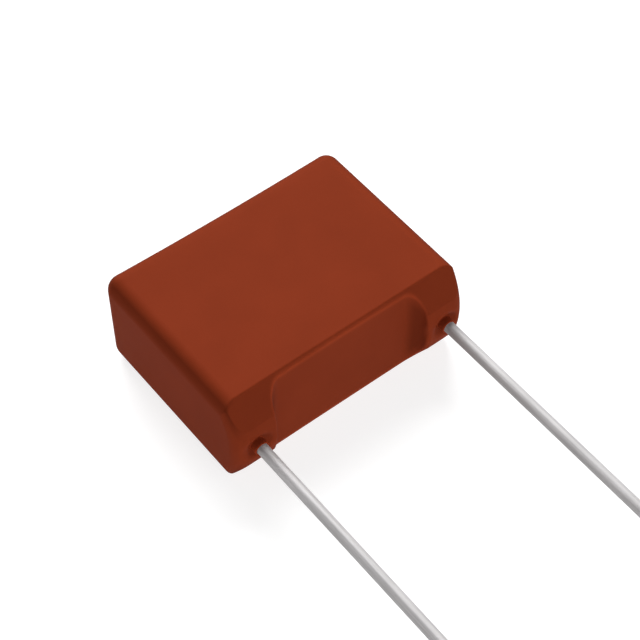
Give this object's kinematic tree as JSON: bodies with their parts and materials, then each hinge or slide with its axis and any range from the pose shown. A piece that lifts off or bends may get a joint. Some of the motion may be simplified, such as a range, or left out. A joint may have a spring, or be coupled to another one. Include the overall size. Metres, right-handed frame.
{
  "type": "film capacitor",
  "caption": "Flat rectangular film capacitor in red-brown dipped resin, its straight round wire leads leaving a narrow side from small feet.",
  "frame": {"origin": "midway between the two leads, on their axes, at the plane where they leave the resin collars", "axes": "-Y along the leads away from the body, X along the lead pitch, +Z out of the upper large face; the part lies on its lower large face"},
  "size_m": [0.0184, 0.0365, 0.0076],
  "materials": {
    "resin": "flame-retardant epoxy dip, red-brown, satin with a very fine even grain",
    "metallised_film": "wound polyester film with a vapour-thin aluminium layer, silver-grey; sealed inside",
    "plain_film": "plain clear polyester film, a few turns thick, milky; sealed inside",
    "sprayed_zinc": "flame-sprayed zinc, dull grey and grainy; sealed inside",
    "tinned_wire": "bright tin plating on drawn wire, faint lengthwise drawing marks"
  },
  "bodies": {
    "root": {"coating": "resin", "film_winding": "metallised_film", "outer_wrap": "plain_film", "left_end_spray": "sprayed_zinc", "right_end_spray": "sprayed_zinc", "left_lead": "tinned_wire", "right_lead": "tinned_wire"}
  },
  "joints": []
}
